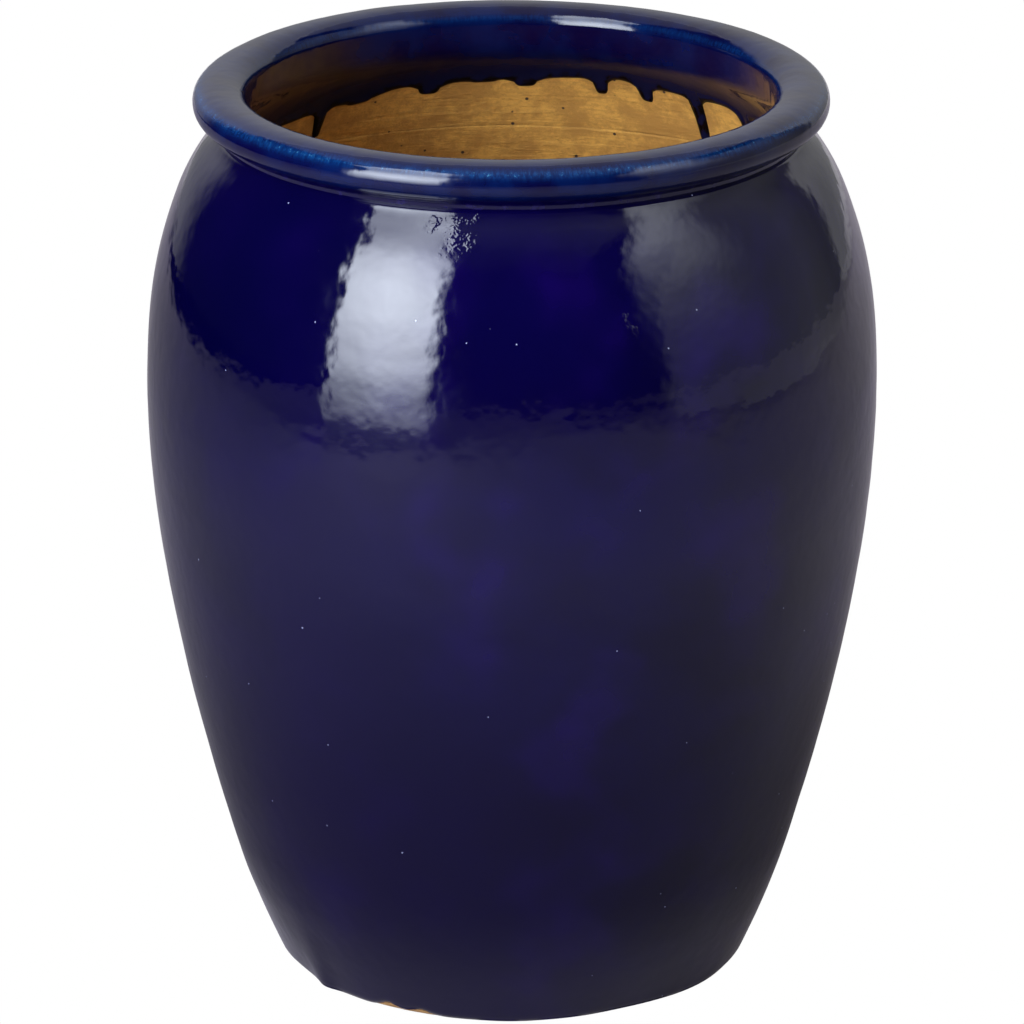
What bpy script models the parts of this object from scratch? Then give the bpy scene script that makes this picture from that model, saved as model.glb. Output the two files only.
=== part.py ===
"""A tall glazed jar planter: thrown clay sections, a rolled rim, glaze coats and a drain plug.

Metres, +Z up. The origin is the centre of the foot, on the surface the jar stands on, and the
jar's turning axis is Z. Every piece is a turned shape about that axis.
"""

import math

import bpy

# ---- driving dimensions ---------------------------------------------------------------------
# The outside of the glazed wall, from the foot to the neck: (height, radius).
WALL_PROFILE = [
    (0.000, 0.167),
    (0.021, 0.176),
    (0.063, 0.192),
    (0.126, 0.210),
    (0.200, 0.228),
    (0.274, 0.242),
    (0.347, 0.252),
    (0.421, 0.255),
    (0.484, 0.251),
    (0.537, 0.239),
    (0.584, 0.218),
    (0.610, 0.195),
]

GAP = 0.0003  # clearance between two pieces that touch
GLAZE = 0.0012  # thickness of a glaze coat
WALL_AT_FOOT = 0.0165  # wall thickness square to the surface, glaze included
WALL_AT_NECK = 0.0105

FOOT_HEIGHT = 0.010  # the foot ring, and the recess under the floor
FOOT_INNER_RADIUS = 0.140
FLOOR_TOP = 0.028
DRAIN_RADIUS = 0.014
LOWER_JOINT = 0.274  # where the lower thrown section ends
UPPER_JOINT = 0.537  # where the belly section ends and the shoulder begins
SHOULDER_TOP = 0.601
OUTER_GLAZE_FROM = 0.0015  # the outer glaze stops just above the ground
INNER_GLAZE_TO = 0.570  # mean height of the glaze edge inside the mouth

RIM_RADIUS = 0.2015  # circle that the middle of the rolled rim follows
RIM_MIDDLE = 0.6232  # its height
RIM_HALF_WIDTH = 0.0185  # the roll's section, glaze included
RIM_HALF_HEIGHT = 0.0133
COLLAR_OUTER_RADIUS = 0.1985  # the upright neck under the roll

BEAD_MIDDLE = (0.2010, 0.6050)  # radius and height of the coil laid round the neck joint
BEAD_RADIUS = 0.0036

PLUG_FLANGE_RADIUS = 0.021
PLUG_SEAT_RADIUS = 0.023  # a shallow recess round the drain hole, where the flange lies
PLUG_SEAT_DEPTH = 0.001
PLUG_FLANGE_HEIGHT = 0.004
PLUG_TAPER = (0.0136, 0.0118)  # the shank's radius at the floor and at its lower end
PLUG_SHANK_BOTTOM = 0.0125
PLUG_KNOB_HEIGHT = 0.010
PLUG_KNOB_RADIUS = 0.0065

TURNS = 48  # flats around each large piece
PLUG_TURNS = 24
ROLL_STEPS = 18  # points around the whole roll section
BEAD_STEPS = 10

# Heights at which every layer of the wall has a ring of points, so that nested layers have
# parallel flats and keep their clearance.
STATIONS = [
    FOOT_HEIGHT, FLOOR_TOP, 0.063, 0.110, 0.163, 0.218, LOWER_JOINT, 0.330,
    0.384, 0.432, 0.480, 0.510, UPPER_JOINT, INNER_GLAZE_TO, 0.588,
]


# ---- the wall's shape -----------------------------------------------------------------------
def wall_tangents():
    """Slope of the outside at each profile point, the mean of the two chords that meet there."""
    chords = []
    for (low_z, low_r), (high_z, high_r) in zip(WALL_PROFILE, WALL_PROFILE[1:]):
        chords.append((high_r - low_r) / (high_z - low_z))
    inner = [(before + after) / 2 for before, after in zip(chords, chords[1:])]
    return [chords[0]] + inner + [chords[-1]]


TANGENTS = wall_tangents()


def outer_radius(z):
    """Radius of the outside at height z, on a smooth curve through the profile points."""
    span = 0
    while span < len(WALL_PROFILE) - 2 and z > WALL_PROFILE[span + 1][0]:
        span += 1
    (low_z, low_r), (high_z, high_r) = WALL_PROFILE[span], WALL_PROFILE[span + 1]
    rise = high_z - low_z
    t = (z - low_z) / rise
    start = low_r * (1 + 2 * t) * (1 - t) ** 2
    start_slope = TANGENTS[span] * rise * t * (1 - t) ** 2
    end = high_r * t * t * (3 - 2 * t)
    end_slope = TANGENTS[span + 1] * rise * t * t * (t - 1)
    return start + start_slope + end + end_slope


def lean(z):
    """How much longer a level cut through a layer is than the layer's true thickness."""
    step = 0.002
    slope = (outer_radius(z + step) - outer_radius(z - step)) / (2 * step)
    return math.hypot(1, slope)


def layer_radius(z, depth):
    """Radius of the surface that lies depth inside the outside, at height z."""
    return outer_radius(z) - depth * lean(z)


def wall_thickness(z):
    """Thrown walls thin towards the neck, mostly in the shoulder."""
    share = (z / SHOULDER_TOP) ** 3
    return WALL_AT_FOOT + (WALL_AT_NECK - WALL_AT_FOOT) * share


def inside_radius(z, grow=0.0):
    """Radius of the clay's inside at height z, or of a surface grow in front of it."""
    return layer_radius(z, wall_thickness(z) + grow)


def rings_between(low, high):
    """Heights from low to high that every layer shares, with low and high themselves."""
    middle = [z for z in STATIONS if low + GAP < z < high - GAP]
    return [low] + middle + [high]


# ---- making objects -------------------------------------------------------------------------
def clear_scene():
    for leftover in list(bpy.data.objects):
        bpy.data.objects.remove(leftover, do_unlink=True)


def new_collection(name):
    collection = bpy.data.collections.new(name)
    bpy.context.scene.collection.children.link(collection)
    return collection


def new_material(name, colour, roughness):
    material = bpy.data.materials.new(name)
    material.use_nodes = True
    shader = material.node_tree.nodes["Principled BSDF"]
    shader.inputs["Base Color"].default_value = (*colour, 1.0)
    shader.inputs["Roughness"].default_value = roughness
    shader.inputs["Metallic"].default_value = 0.0
    material.diffuse_color = (*colour, 1.0)
    return material


def turned(name, section, material, collection, closed=True, turns=TURNS):
    """A section of (radius, height) points, running down its outer side, spun about Z."""
    mesh = bpy.data.meshes.new(name)
    points = [(radius, 0.0, height) for radius, height in section]
    edges = [(index, index + 1) for index in range(len(points) - 1)]
    if closed:
        edges.append((len(points) - 1, 0))
    mesh.from_pydata(points, edges, [])
    piece = bpy.data.objects.new(name, mesh)
    collection.objects.link(piece)
    screw = piece.modifiers.new("Screw", "SCREW")
    screw.axis = "Z"
    screw.angle = math.tau
    screw.steps = turns
    screw.render_steps = turns
    screw.use_merge_vertices = True
    screw.merge_threshold = 0.0001
    screw.use_smooth_shade = True
    mesh.materials.append(material)
    return piece


# ---- clay pieces ----------------------------------------------------------------------------
def wall_section(low, high, outside_depth, inside):
    """The closed section of a wall: down its outside at a depth, then up its inside."""
    heights = rings_between(low, high)
    down = [(layer_radius(z, outside_depth), z) for z in reversed(heights)]
    up = [(inside(z), z) for z in heights]
    return down + up


def clay_wall(name, low, high, material, collection):
    section = wall_section(low, high, GLAZE + GAP, inside_radius)
    return turned(name, section, material, collection)


def make_foot_ring(material, collection):
    top_outer = layer_radius(FOOT_HEIGHT, GLAZE + GAP)
    glaze_edge = layer_radius(OUTER_GLAZE_FROM, GLAZE + GAP)
    edge_round = 0.002
    section = [
        (top_outer, FOOT_HEIGHT),
        (glaze_edge, OUTER_GLAZE_FROM),
        (glaze_edge - edge_round, 0.0),
        (FOOT_INNER_RADIUS + edge_round, 0.0),
        (FOOT_INNER_RADIUS, edge_round),
        (FOOT_INNER_RADIUS, FOOT_HEIGHT),
    ]
    return turned("foot_ring", section, material, collection)


def make_base_slab(material, collection):
    """The floor: a disc inside the lower wall, standing on the foot ring, with a drain hole."""
    bottom = FOOT_HEIGHT + GAP
    seat = FLOOR_TOP - PLUG_SEAT_DEPTH
    section = [
        (inside_radius(FLOOR_TOP, GAP), FLOOR_TOP),
        (inside_radius(bottom, GAP), bottom),
        (DRAIN_RADIUS, bottom),
        (DRAIN_RADIUS, seat),
        (PLUG_SEAT_RADIUS, seat),
        (PLUG_SEAT_RADIUS + PLUG_SEAT_DEPTH, FLOOR_TOP),
    ]
    return turned("base_slab", section, material, collection)


def roll_arc(grow, start, end):
    """Points around the roll's clay, or grow outside it, between two angles from outwards."""
    half_width = RIM_HALF_WIDTH - GLAZE - GAP + grow
    half_height = RIM_HALF_HEIGHT - GLAZE - GAP + grow
    step = 360 / ROLL_STEPS
    count = round((start - end) / step)
    points = []
    for index in range(count + 1):
        angle = math.radians(start - index * step)
        radius = RIM_RADIUS + half_width * math.cos(angle)
        points.append((radius, RIM_MIDDLE + half_height * math.sin(angle)))
    return points


def make_rim_roll(material, collection):
    """The rolled lip and the upright collar that joins it to the shoulder."""
    collar_bottom = SHOULDER_TOP + GAP
    section = roll_arc(0.0, 180, -80)
    underside = section[-1][1]
    section.append((COLLAR_OUTER_RADIUS, underside))
    section.append((COLLAR_OUTER_RADIUS, collar_bottom))
    section.append((inside_radius(SHOULDER_TOP), collar_bottom))
    return turned("rim_roll", section, material, collection)


def make_neck_bead(material, collection):
    """A thin coil pressed round the collar, over the joint."""
    flat_inside = COLLAR_OUTER_RADIUS + GAP
    section = []
    for index in range(BEAD_STEPS):
        angle = math.radians(90 - index * 360 / BEAD_STEPS)
        radius = BEAD_MIDDLE[0] + BEAD_RADIUS * math.cos(angle)
        height = BEAD_MIDDLE[1] + BEAD_RADIUS * math.sin(angle)
        section.append((max(radius, flat_inside), height))
    return turned("neck_bead", section, material, collection)


# ---- glaze coats ----------------------------------------------------------------------------
def make_outer_glaze(material, collection):
    def glaze_back(z):
        return layer_radius(z, GLAZE)

    section = wall_section(OUTER_GLAZE_FROM, SHOULDER_TOP, 0.0, glaze_back)
    return turned("outer_glaze", section, material, collection)


def rim_coat_path(grow):
    """From the glaze edge inside the mouth, up over the roll and down to its underside."""
    inside = [
        (inside_radius(z, grow), z) for z in rings_between(INNER_GLAZE_TO, SHOULDER_TOP)
    ]
    return inside + roll_arc(grow, 180, -80)


def make_rim_glaze(material, collection):
    outside = rim_coat_path(GAP + GLAZE)
    back = rim_coat_path(GAP)
    return turned("rim_glaze", outside + back[::-1], material, collection)


# ---- the plug -------------------------------------------------------------------------------
def make_drain_plug(material, collection):
    """A tapered stopper: its flange lies in the floor's recess, its shank fills the hole."""
    flange_bottom = FLOOR_TOP - PLUG_SEAT_DEPTH + GAP
    flange_top = flange_bottom + PLUG_FLANGE_HEIGHT
    knob_top = flange_top + PLUG_KNOB_HEIGHT
    knob_waist = 0.6 * PLUG_KNOB_RADIUS
    soften = 0.0012
    section = [
        (0.0, knob_top),
        (PLUG_KNOB_RADIUS - soften, knob_top),
        (PLUG_KNOB_RADIUS, knob_top - soften),
        (PLUG_KNOB_RADIUS, knob_top - 3 * soften),
        (knob_waist, flange_top + 2 * soften),
        (knob_waist + soften, flange_top + soften / 2),
        (PLUG_FLANGE_RADIUS - 2 * soften, flange_top),
        (PLUG_FLANGE_RADIUS, flange_top - soften),
        (PLUG_FLANGE_RADIUS, flange_bottom),
        (PLUG_TAPER[0], flange_bottom),
        (PLUG_TAPER[1], PLUG_SHANK_BOTTOM + soften),
        (PLUG_TAPER[1] - soften, PLUG_SHANK_BOTTOM),
        (0.0, PLUG_SHANK_BOTTOM),
    ]
    return turned("drain_plug", section, material, collection, closed=False, turns=PLUG_TURNS)


# ---- the whole jar --------------------------------------------------------------------------
def main():
    clear_scene()
    jar = new_collection("glazed_jar_planter")
    clay = new_material("fired_clay", (0.34, 0.19, 0.065), 0.85)
    foot_clay = new_material("foot_clay", (0.36, 0.19, 0.07), 0.9)
    body_glaze = new_material("cobalt_glaze", (0.008, 0.004, 0.060), 0.08)
    bead_glaze = new_material("bead_glaze", (0.010, 0.008, 0.075), 0.12)
    lip_glaze = new_material("lip_glaze", (0.008, 0.024, 0.110), 0.10)
    plug_rubber = new_material("plug_rubber", (0.02, 0.02, 0.02), 0.7)

    make_foot_ring(foot_clay, jar)
    make_base_slab(clay, jar)
    clay_wall("lower_wall", FOOT_HEIGHT + GAP, LOWER_JOINT - GAP / 2, clay, jar)
    clay_wall("belly_wall", LOWER_JOINT + GAP / 2, UPPER_JOINT - GAP / 2, clay, jar)
    clay_wall("shoulder_wall", UPPER_JOINT + GAP / 2, SHOULDER_TOP, clay, jar)
    make_rim_roll(clay, jar)
    make_neck_bead(bead_glaze, jar)
    make_outer_glaze(body_glaze, jar)
    make_rim_glaze(lip_glaze, jar)
    make_drain_plug(plug_rubber, jar)


main()
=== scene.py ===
"""Looks of the glazed jar planter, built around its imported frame. Metres, +Z up.

The jar is turned about Z, so most pieces are rings: a grid of points that closes around the jar
and around its own cross-section. Their outlines come from the frame's nodes. Angles round the
jar are azimuths, counted from +X towards +Y, so the front is at -90 degrees.
"""

import math

import bpy
import numpy as np
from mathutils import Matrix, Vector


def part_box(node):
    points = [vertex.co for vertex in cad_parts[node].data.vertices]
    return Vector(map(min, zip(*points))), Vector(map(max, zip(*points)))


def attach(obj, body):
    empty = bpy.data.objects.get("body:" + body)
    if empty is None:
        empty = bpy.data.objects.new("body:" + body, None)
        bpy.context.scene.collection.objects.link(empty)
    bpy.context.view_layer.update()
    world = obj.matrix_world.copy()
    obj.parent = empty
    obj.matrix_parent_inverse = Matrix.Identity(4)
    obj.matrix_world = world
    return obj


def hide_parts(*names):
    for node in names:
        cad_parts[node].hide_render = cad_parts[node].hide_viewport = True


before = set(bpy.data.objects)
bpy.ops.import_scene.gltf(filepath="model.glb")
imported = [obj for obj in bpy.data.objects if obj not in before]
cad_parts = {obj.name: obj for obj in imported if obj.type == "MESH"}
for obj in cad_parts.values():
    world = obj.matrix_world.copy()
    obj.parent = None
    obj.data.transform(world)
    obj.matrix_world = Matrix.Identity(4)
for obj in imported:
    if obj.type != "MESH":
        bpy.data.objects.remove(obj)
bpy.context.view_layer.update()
TAU = 2 * math.pi

# ---- camera ---------------------------------------------------------------------------------
VIEW_ELEVATION = 19.71  # degrees above the level
VIEW_DISTANCE = 4.484  # from the target to the camera
TARGET_HEIGHT = 0.3186
LENS = 223.3  # mm, on a 36 mm sensor

# ---- sizes that the frame's boxes don't give ------------------------------------------------
COAT = 0.0012  # thickness of the glaze
GAP = 0.0003  # between two pieces of clay
ROLL_HALF_WIDTH = 0.0185
ROLL_HALF_HEIGHT = 0.0133
ROLL_ROUNDNESS = 2.25  # 2 is an ellipse; above 2 the top and sides flatten a little
COLLAR_RADIUS = 0.1985
RIM_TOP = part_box("rim_glaze")[1]
ROLL_RADIUS = RIM_TOP.x - ROLL_HALF_WIDTH
ROLL_MIDDLE = RIM_TOP.z - ROLL_HALF_HEIGHT
ROLL_START = math.radians(-100)  # where the roll's underside meets the collar
ROLL_END = math.radians(180)  # the lip, its innermost line

# ---- mesh sizes -----------------------------------------------------------------------------
BODY_AROUND, BODY_UP = 400, 220
# The wall's sections: piece, node and rows up the inside.
WALL_SECTIONS = [
    ("shoulder_clay", "shoulder_wall", 90),
    ("belly_clay", "belly_wall", 130),
    ("lower_clay", "lower_wall", 130),
]
RIM_AROUND = 1150
BEAD_AROUND = 480
CLAY_AROUND = 360
HIDDEN_AROUND = 240
EDGE_SEARCH = 24  # columns looked at on each side for the nearest part of the glaze's edge

# ---- what the hand and the kiln left --------------------------------------------------------
# Level of the glaze edge inside the mouth, without its runs: azimuth in degrees, height.
GLAZE_EDGE = [
    (20, 0.569), (39, 0.571), (44, 0.574), (56, 0.576), (68, 0.581), (80, 0.579),
    (92, 0.576), (102, 0.575), (112, 0.5735), (118, 0.569), (126, 0.566), (140, 0.560),
    (165, 0.568), (230, 0.574), (310, 0.572), (380, 0.569),
]
# Runs of glaze below it: azimuth in degrees, length and half-width in metres.
GLAZE_RUNS = [
    (129.3, 0.0220, 0.0044),
    (121.0, 0.0030, 0.0100),
    (106.4, 0.0090, 0.0085),
    (95.5, 0.0020, 0.0100),
    (87.3, 0.0070, 0.0085),
    (72.2, 0.0140, 0.0056),
    (62.9, 0.0145, 0.0060),
    (51.4, 0.0400, 0.0052),
    (39.0, 0.0240, 0.0060),
]
HIDDEN_RUNS = 22  # runs on the near side and beyond, spread at random
HIDDEN_FROM, HIDDEN_TO = 145, 390  # the azimuths they are spread over
RUN_CLEARANCE = 0.009  # how far above the plain edge the runs start to bend the mesh
EDGE_ROUNDING = 0.002  # how far in from its edge the inside glaze rounds over
THROWING_CREASE = ((119.0, 0.537), (83.0, 0.510))  # (azimuth, height): a finger mark in the clay
# Where the foot leaves its circle: azimuth in degrees, change of radius, half-width in degrees.
FOOT_LUMPS = [
    (-141, 0.0038, 4.0), (-152, -0.0010, 7.0), (-91, 0.0016, 9.0), (-62, -0.0022, 12.0),
    (-36, 0.0010, 9.0), (40, 0.0015, 12.0), (115, -0.0015, 14.0),
]
# Bare clay under the edge of the outer glaze: azimuth in degrees, height, half-width in degrees.
BARE_SPOTS = [(-121, 0.0042, 3.0), (-112.5, 0.0034, 3.2), (24, 0.0040, 6.0), (150, 0.0030, 4.0)]
# Patches of puckered glaze: azimuth in degrees, height and radius of the patch.
GLAZE_SCARS = [
    (-98.6, 0.592, 0.013), (-100.2, 0.581, 0.009), (-104.5, 0.594, 0.006), (-72.6, 0.5295, 0.009),
    (78, 0.560, 0.012),
]
EDGE_RADIUS = 0.212  # of the wall's inside, about where the glaze edge is
NECK_COVE = 0.0028  # how far the body's glaze stands out where it turns up to the neck
COVE_FROM, COVE_TO = 0.592, 0.6035
BEAD_FOOT_RADIUS = 0.2030
FLOW_RADIUS = 0.016  # turns an angle on the roll into a length along the glaze's path

# ---- studio sizes ---------------------------------------------------------------------------
FLOOR_RADIUS = 5.4
FLOOR_TINT = (1.0, 0.91, 1.0)
# painted glow: the floor gives off light in reflections, though it is no lamp
FLOOR_PAINTED_GLOW = 0.25  # radiance for each unit of the floor's brightness
# How bright the floor is in reflections, with painted shade in a ring round the jar and painted
# light close to its foot: distance from the jar's axis, brightness.
FLOOR_LIGHT_AND_SHADE_RINGS = [
    (0.00, 0.28), (0.18, 0.28), (0.21, 0.21), (0.27, 0.13), (0.375, 0.135), (0.60, 0.19),
    (0.90, 0.25), (1.50, 0.25), (2.20, 0.32), (3.00, 0.44), (FLOOR_RADIUS, 0.60),
]


# ---- curves and noise -----------------------------------------------------------------------
def smooth(x, knots, values):
    """A smooth curve through (knots, values), read at x."""
    knots, values, x = np.asarray(knots), np.asarray(values), np.asarray(x, float)
    chords = np.diff(values) / np.diff(knots)
    slopes = np.concatenate([chords[:1], (chords[1:] + chords[:-1]) / 2, chords[-1:]])
    span = np.clip(np.searchsorted(knots, x) - 1, 0, len(knots) - 2)
    width = knots[span + 1] - knots[span]
    t = (x - knots[span]) / width
    start = values[span] * (1 + 2 * t) * (1 - t) ** 2 + slopes[span] * width * t * (1 - t) ** 2
    end = values[span + 1] * t * t * (3 - 2 * t) + slopes[span + 1] * width * t * t * (t - 1)
    return start + end


def ease(x, low, high):
    """0 below low, 1 above high, and a smooth step between."""
    t = np.clip((x - low) / (high - low), 0, 1)
    return t * t * (3 - 2 * t)


def lattice_noise(azimuth, height, around, cell_height, seed):
    """Smooth noise from -1 to 1 on the jar's surface, with a whole number of cells around it."""
    random = np.random.default_rng(seed)
    rows = 400
    values = random.uniform(-1, 1, (rows, around))
    u = (azimuth / TAU % 1.0) * around
    v = height / cell_height + 40
    column, row = np.floor(u).astype(int), np.floor(v).astype(int)
    fade_u, fade_v = u - column, v - row
    fade_u = fade_u * fade_u * (3 - 2 * fade_u)
    fade_v = fade_v * fade_v * (3 - 2 * fade_v)
    left, right = column % around, (column + 1) % around
    low, high = row % rows, (row + 1) % rows
    below = values[low, left] * (1 - fade_u) + values[low, right] * fade_u
    above = values[high, left] * (1 - fade_u) + values[high, right] * fade_u
    return below * (1 - fade_v) + above * fade_v


def degrees_from(azimuth, place):
    """How far round the jar an azimuth is from a place in degrees, the short way."""
    return (np.degrees(azimuth) - place + 180) % 360 - 180


def bell(distance, half_width):
    """1 at no distance, falling to 1/e at the half-width."""
    return np.exp(-((distance / half_width) ** 2))


# ---- outlines from the frame ----------------------------------------------------------------
def outline(node):
    """A turned node's heights, and its smallest and largest radius at each."""
    vertices = np.array([v.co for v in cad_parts[node].data.vertices])
    radius = np.hypot(vertices[:, 0], vertices[:, 1])
    levels = np.round(vertices[:, 2], 5)
    heights = np.unique(levels)
    inner = np.array([radius[levels == z].min() for z in heights])
    outer = np.array([radius[levels == z].max() for z in heights])
    return heights, inner, outer


def wall_outline():
    """The clay wall's inside and outside over its whole height, up to the lip."""
    heights, inner, outer = [], [], []
    for node in ("lower_wall", "belly_wall", "shoulder_wall"):
        for z, inside, outside in zip(*outline(node)):
            if not heights or z - heights[-1] > 0.001:
                heights.append(z)
                inner.append(inside)
                outer.append(outside)
    lip = ROLL_RADIUS - ROLL_HALF_WIDTH + COAT
    return heights + [ROLL_MIDDLE], inner + [lip], outer + [COLLAR_RADIUS]


WALL_HEIGHTS, WALL_INSIDE, WALL_OUTSIDE = wall_outline()
BODY_HEIGHTS, _, BODY_OUTSIDE = outline("outer_glaze")


def inside_face(z):
    return smooth(z, WALL_HEIGHTS, WALL_INSIDE)


def roll_section(angle, grow=0.0):
    """A point of the roll's rounded section, at an angle from outwards; grow is added outside."""
    c, s = np.cos(angle), np.sin(angle)
    power = 2 / ROLL_ROUNDNESS
    across = np.sign(c) * np.abs(c) ** power * (ROLL_HALF_WIDTH + grow)
    up = np.sign(s) * np.abs(s) ** power * (ROLL_HALF_HEIGHT + grow)
    return ROLL_RADIUS + across, ROLL_MIDDLE + up


# ---- meshes ---------------------------------------------------------------------------------
def add_object(name, mesh, material):
    mesh.materials.append(material)
    piece = bpy.data.objects.new(name, mesh)
    bpy.context.scene.collection.objects.link(piece)
    return piece


def grid_object(name, points, faces, material, attributes):
    mesh = bpy.data.meshes.new(name)
    mesh.vertices.add(len(points))
    mesh.vertices.foreach_set("co", np.asarray(points, np.float32).ravel())
    mesh.loops.add(faces.size)
    mesh.loops.foreach_set("vertex_index", faces.ravel().astype(np.int32))
    mesh.polygons.add(len(faces))
    mesh.polygons.foreach_set("loop_start", np.arange(0, faces.size, 4, dtype=np.int32))
    mesh.update(calc_edges=True)
    mesh.polygons.foreach_set("use_smooth", np.ones(len(faces), bool))
    for attribute, values in attributes:
        layer = mesh.attributes.new(attribute, "FLOAT", "POINT")
        layer.data.foreach_set("value", np.asarray(values, np.float32).ravel())
    mesh.validate()
    return add_object(name, mesh, material)


def ring_object(name, azimuth, radius, height, material, attributes=()):
    """A closed ring. radius and height are grids, path points by azimuths, and the path runs
    anticlockwise around the section as seen with +X to the right: up its outer side."""
    x = radius * np.cos(azimuth)
    y = radius * np.sin(azimuth)
    points = np.stack([x, y, np.broadcast_to(height, x.shape)], axis=-1).reshape(-1, 3)
    steps, around = radius.shape
    index = np.arange(steps * around).reshape(steps, around)
    right = np.roll(index, -1, axis=1)
    faces = np.stack([index, right, np.roll(right, -1, axis=0), np.roll(index, -1, axis=0)], -1)
    return grid_object(name, points, faces.reshape(-1, 4), material, attributes)


def azimuths(count):
    return np.arange(count) / count * TAU


def path(start, end, count):
    """Evenly spaced values down a column, so that they combine with a row of azimuths."""
    return np.linspace(start, end, count)[:, None]


def rounded_outline(corners, rounding, spacing, closed=True):
    """Points along straight runs between corners, with each corner rounded off."""
    corners = [np.array(corner, float) for corner in corners]
    count = len(corners)
    points = []
    for index, corner in enumerate(corners):
        if not closed and index in (0, count - 1):
            points.append(corner)
            continue
        before, after = corners[index - 1], corners[(index + 1) % count]
        sides = [np.linalg.norm(other - corner) for other in (before, after)]
        reach = min(rounding, 0.45 * min(sides))
        enter = corner + (before - corner) / np.linalg.norm(before - corner) * reach
        leave = corner + (after - corner) / np.linalg.norm(after - corner) * reach
        for t in np.linspace(0, 1, 5):
            points.append(enter * (1 - t) ** 2 + corner * 2 * t * (1 - t) + leave * t * t)
    fine = []
    followers = points[1:] + points[:1] if closed else points[1:]
    for point, follower in zip(points, followers):
        pieces = max(1, math.ceil(np.linalg.norm(follower - point) / spacing))
        fine += [point + (follower - point) * step / pieces for step in range(pieces)]
    if not closed:
        fine.append(points[-1])
    return np.array(fine)


# ---- the shape the hand gave ----------------------------------------------------------------
def spread_round(azimuth, places):
    """The sum of bells at places round the jar: azimuth, size and half-width of each."""
    return sum(size * bell(degrees_from(azimuth, place), wide) for place, size, wide in places)


def hand_shape(azimuth, height):
    """Slow departures from a true circle, shared by every layer of the wall and the rim."""
    slow = 0.0006 * lattice_noise(azimuth, height, 5, 0.22, 11)
    medium = 0.00035 * lattice_noise(azimuth, height, 11, 0.09, 12)
    foot = spread_round(azimuth, FOOT_LUMPS) * np.exp(-np.maximum(height, 0) / 0.022)
    return slow + medium + foot


def glaze_ripple(azimuth, height):
    """Rings left by the fingers, and the uneven run of the glaze over them."""
    rings = 0.00008 * lattice_noise(azimuth, height, 7, 0.016, 21)
    dents = 0.00013 * lattice_noise(azimuth, height, 46, 0.030, 22)
    pebbles = 0.00005 * lattice_noise(azimuth, height, 130, 0.0115, 23)
    return rings + dents + pebbles


def foot_edge_height(azimuth):
    """Height at which the outer glaze stops, close above the ground nearly all the way round."""
    waver = 0.0003 * lattice_noise(azimuth, 0.0, 34, 1.0, 32)
    return 0.0007 + waver + spread_round(azimuth, BARE_SPOTS)


def body_face(z):
    """The glazed outside of the body, with a soft cove where it turns up to the neck."""
    cove = NECK_COVE * (np.maximum(z - COVE_FROM, 0) / (COVE_TO - COVE_FROM)) ** 2
    return smooth(z, BODY_HEIGHTS, BODY_OUTSIDE) + cove


def edge_rounding(share):
    """How far the glaze's face falls back near its edge. share is 0 at the edge and 1 inwards."""
    return COAT * (1 - np.sqrt(1 - (1 - np.clip(share, 0, 1)) ** 2))


def make_body_coat(material):
    azimuth = azimuths(BODY_AROUND)
    low = foot_edge_height(azimuth)
    top = COVE_TO - 0.0005
    z = low + (top - low) * path(0, 1, BODY_UP)
    # the lower edge rounds over within a millimetre or so
    rounding = edge_rounding((z - low) / (1.6 * COAT))
    front = body_face(z) + glaze_ripple(azimuth, z) - rounding
    # above the shoulder the coat ends against the collar, behind the bead
    cap_z = path(top + 0.0004, top + 0.0004, 2) + 0 * azimuth
    cap = path(COLLAR_RADIUS + 2 * COAT, COLLAR_RADIUS, 2) + 0 * azimuth
    back_z = low + (BODY_HEIGHTS[-1] - low) * path(1, 0, 10)
    back = smooth(back_z, BODY_HEIGHTS, BODY_OUTSIDE) - COAT
    height = np.concatenate([z, cap_z, back_z])
    radius = np.concatenate([front, cap, back]) + hand_shape(azimuth, height)
    return ring_object("body_glaze_coat", azimuth, radius, height, material)


def make_bead(material):
    """The coil round the neck, melted by its glaze into the underside of the roll."""
    low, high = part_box("neck_bead")
    meet_r, meet_z = roll_section(np.radians(-68))
    corners = [
        (COLLAR_RADIUS + GAP, low.z), (BEAD_FOOT_RADIUS, low.z + 0.0008),
        (BEAD_FOOT_RADIUS + 0.0009, low.z + 0.0024), (BEAD_FOOT_RADIUS + 0.0012, high.z - 0.0020),
        (meet_r, meet_z + 0.0003), (meet_r - 0.003, meet_z + 0.0006), (COLLAR_RADIUS + GAP, meet_z),
    ]
    section = rounded_outline(corners, 0.0018, 0.0008)
    azimuth = azimuths(BEAD_AROUND)
    height = section[:, 1:] + 0 * azimuth
    middle = bell(height - (low.z + high.z) / 2, 0.0035)
    height = height + 0.0004 * middle * lattice_noise(azimuth, 0.0, 18, 1.0, 42)
    ridge = 0.0003 * middle * lattice_noise(azimuth, 0.0, 60, 1.0, 41)
    radius = section[:, :1] + ridge + hand_shape(azimuth, height)
    return ring_object("neck_bead_coat", azimuth, radius, height, material)


# ---- the rim and its runs -------------------------------------------------------------------
def rim_azimuths():
    """Azimuths round the rim, closest together on the far side, where the runs show."""
    fine = azimuths(7200)
    density = 1 + 1.5 * bell(degrees_from(fine, 88) / 62, 1.0) ** 0.5
    reached = np.cumsum(density) - density[0]
    return np.interp(np.arange(RIM_AROUND) / RIM_AROUND * reached[-1], reached, fine)


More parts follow.
